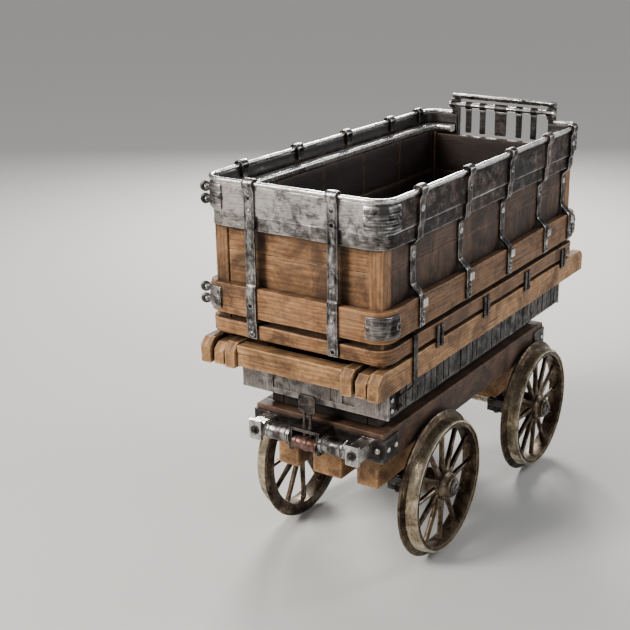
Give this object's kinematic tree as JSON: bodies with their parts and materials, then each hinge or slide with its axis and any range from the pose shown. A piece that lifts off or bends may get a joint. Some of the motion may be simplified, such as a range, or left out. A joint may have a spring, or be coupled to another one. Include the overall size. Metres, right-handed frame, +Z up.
{
  "type": "mine cart",
  "caption": "Banded timber mine cart tub on a beam platform and steel box, with a timber underframe, spoked flanged wheel pairs, a front coupling and a small rear slat gate",
  "frame": {"origin": "on the ground plane under the middle of the cart, where the wheel flanges touch", "axes": "X across the track, Y along it with the coupling end at -Y, Z up"},
  "size_m": [0.7728, 1.698, 1.52],
  "materials": {
    "timber": "warm orange-brown weathered hardwood with open grain",
    "dark_timber": "dark oil-stained timber",
    "band_steel": "worn bare steel with scratches and rust in the recesses",
    "plate_steel": "dark mottled steel plate, worn bright along its edges",
    "dark_iron": "dark forged iron, brighter where it is rubbed",
    "bronze": "dull bearing bronze",
    "wheel_iron": "brown-bronze cast metal, polished on the tread"
  },
  "bodies": {
    "cart": {"axle_bearers": "timber", "base_rail": "timber", "bearing_bolts": "dark_iron", "bearing_bushes": "bronze", "bearing_housings": "dark_iron", "bearing_keeps": "dark_iron", "body_bolsters": "dark_timber", "box_floor_plate": "plate_steel", "box_front_plate": "plate_steel", "box_inset_panel": "plate_steel", "box_rear_plate": "plate_steel", "box_side_plates": "plate_steel", "bumper_bars": "band_steel", "bumper_bolts": "band_steel", "bumper_end_blocks": "band_steel", "corner_plates": "band_steel", "corner_posts": "timber", "coupling_head": "dark_iron", "cross_beams": "timber", "eye_bolts": "dark_iron", "floor_boards": "dark_timber", "frame_bolts": "dark_iron", "frame_crossbars": "dark_timber", "frame_sills": "timber", "front_headstock": "timber", "front_straps": "band_steel", "front_wall": "timber", "gate_head_rail": "band_steel", "gate_posts": "dark_iron", "headstock_plates": "dark_iron", "hold_down_irons": "dark_iron", "inner_beams": "timber", "left_straps": "band_steel", "left_wall": "timber", "outer_beam_left": "timber", "outer_beam_right": "timber", "rail_clips": "dark_iron", "rear_headstock": "timber", "rear_wall": "timber", "right_straps": "band_steel", "right_wall": "timber", "rim_bead": "band_steel", "strap_clamps": "band_steel", "strap_rivets": "band_steel", "strip_band": "band_steel", "upper_band": "band_steel", "wall_capping": "band_steel", "wood_band": "timber"},
    "front_wheelset": {"front_axle": "wheel_iron", "wheel_front_left": "wheel_iron", "wheel_front_right": "wheel_iron", "front_hub_caps": "wheel_iron"},
    "rear_wheelset": {"rear_axle": "wheel_iron", "wheel_rear_left": "wheel_iron", "wheel_rear_right": "wheel_iron", "rear_hub_caps": "wheel_iron"},
    "gate": {"gate_rod": "band_steel", "gate_slats": "dark_iron"},
    "drum": {"coupling_drum": "dark_iron"},
    "pin": {"coupling_pin": "dark_iron"}
  },
  "joints": [
    {"name": "front_wheels_roll", "type": "hinge", "parent": "cart", "child": "front_wheelset", "pos_m": [0, -0.323, 0.276], "axis": [1, 0, 0], "continuous": true},
    {"name": "rear_wheels_roll", "type": "hinge", "parent": "cart", "child": "rear_wheelset", "pos_m": [0, 0.509, 0.276], "axis": [1, 0, 0], "continuous": true},
    {"name": "gate_swing", "type": "hinge", "parent": "cart", "child": "gate", "pos_m": [0, 0.7355, 1.476], "axis": [1, 0, 0], "range_deg": [0, 75]},
    {"name": "drum_turn", "type": "hinge", "parent": "cart", "child": "drum", "pos_m": [0, -0.732, 0.529], "axis": [1, 0, 0], "continuous": true},
    {"name": "pin_lift", "type": "slide", "parent": "cart", "child": "pin", "axis": [0, 0, 1], "range_m": [0, 0.06]}
  ]
}
